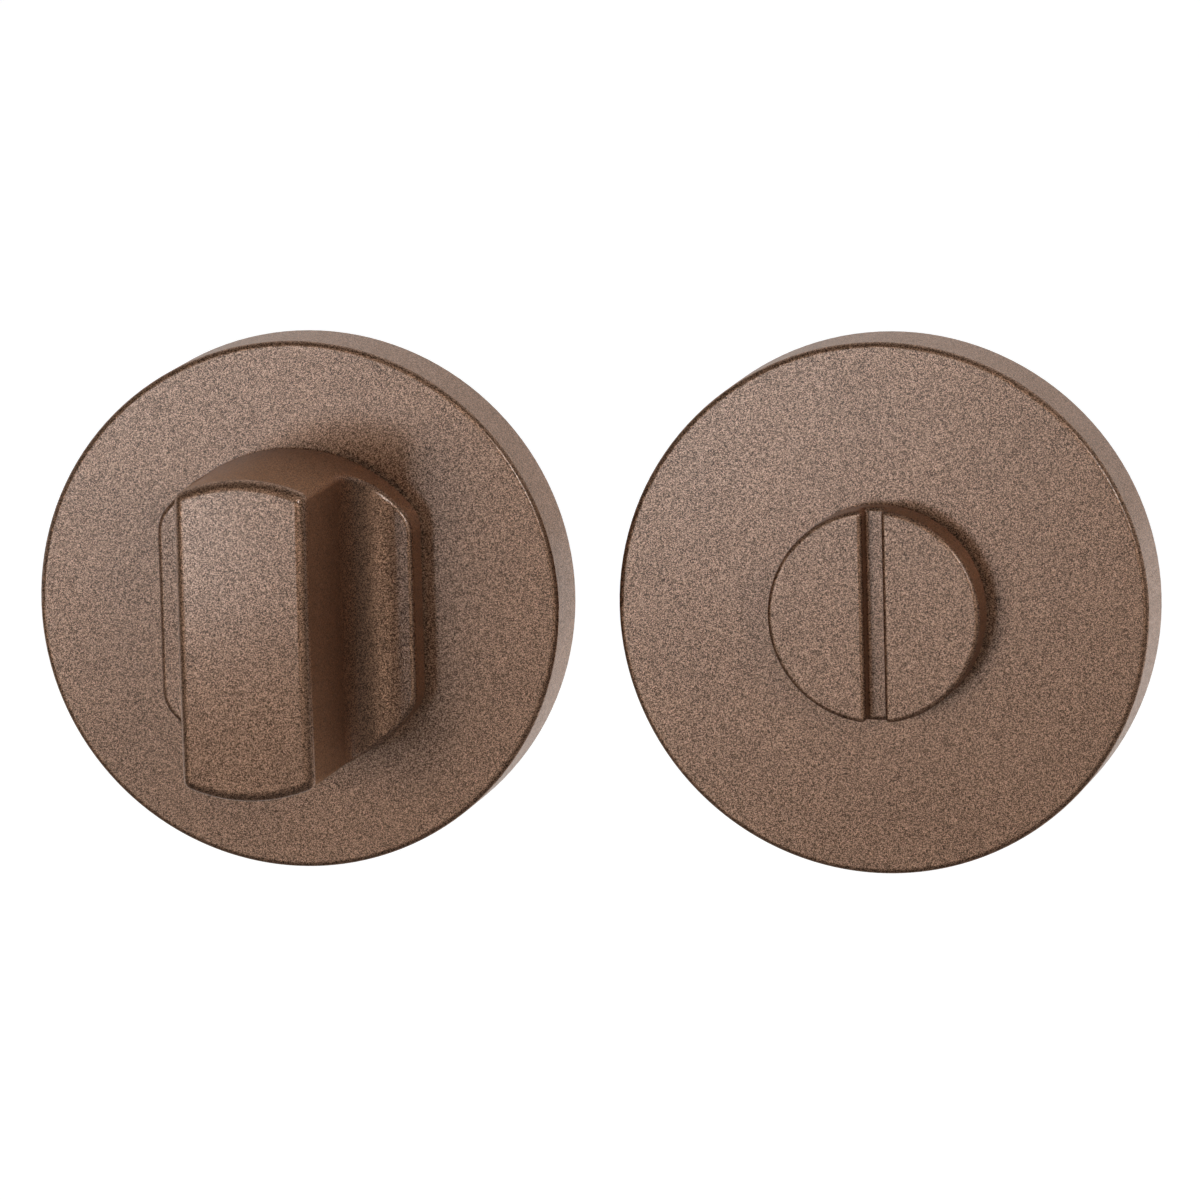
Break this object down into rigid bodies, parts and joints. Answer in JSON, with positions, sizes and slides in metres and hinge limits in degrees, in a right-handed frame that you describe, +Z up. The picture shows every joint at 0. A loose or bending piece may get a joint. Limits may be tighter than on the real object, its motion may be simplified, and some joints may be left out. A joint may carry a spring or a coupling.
{
  "type": "bathroom thumb turn lock",
  "caption": "Round bathroom lock set: thumb-turn rose with square spindle beside its slotted emergency-release rose.",
  "frame": {"origin": "on the spindle axis of the thumb-turn half, in the plane of the roses' back faces, which is the door's face", "axes": "+Y into the door along the spindle, +Z up, +X towards the release half that lies beside it, so the fronts face -Y"},
  "size_m": [0.1058, 0.0759, 0.05],
  "materials": {
    "bronze_coat": "fine metallic bronze coat, satin",
    "nylon": "black glass-filled nylon",
    "acetal": "natural white acetal",
    "spring_steel": "phosphated spring steel",
    "zinc_steel": "zinc-plated steel",
    "brass_sleeve": "turned brass"
  },
  "bodies": {
    "roses": {"turn_rose_cover": "bronze_coat", "turn_base_plate": "nylon", "turn_snap_ring": "spring_steel", "turn_bearing_bush": "acetal", "turn_thrust_washer": "zinc_steel", "turn_fixing_screws": "zinc_steel", "release_rose_cover": "bronze_coat", "release_base_plate": "nylon", "release_snap_ring": "spring_steel", "release_bearing_bush": "acetal", "release_thrust_washer": "zinc_steel", "release_fixing_screws": "zinc_steel", "release_post_sleeves": "brass_sleeve"},
    "turn": {"thumb_turn": "bronze_coat", "spindle": "zinc_steel", "turn_wave_washer": "spring_steel", "turn_circlip": "spring_steel"},
    "release": {"release_disc": "bronze_coat", "release_wave_washer": "spring_steel", "release_circlip": "spring_steel"}
  },
  "joints": [
    {"name": "turn_hinge", "type": "hinge", "parent": "roses", "child": "turn", "pos_m": [0, -0.005, 0], "axis": [0, 1, 0], "range_deg": [-90, 90]},
    {"name": "release_hinge", "type": "hinge", "parent": "roses", "child": "release", "pos_m": [0.0558, -0.005, 0], "axis": [0, 1, 0], "range_deg": [-90, 90]}
  ]
}
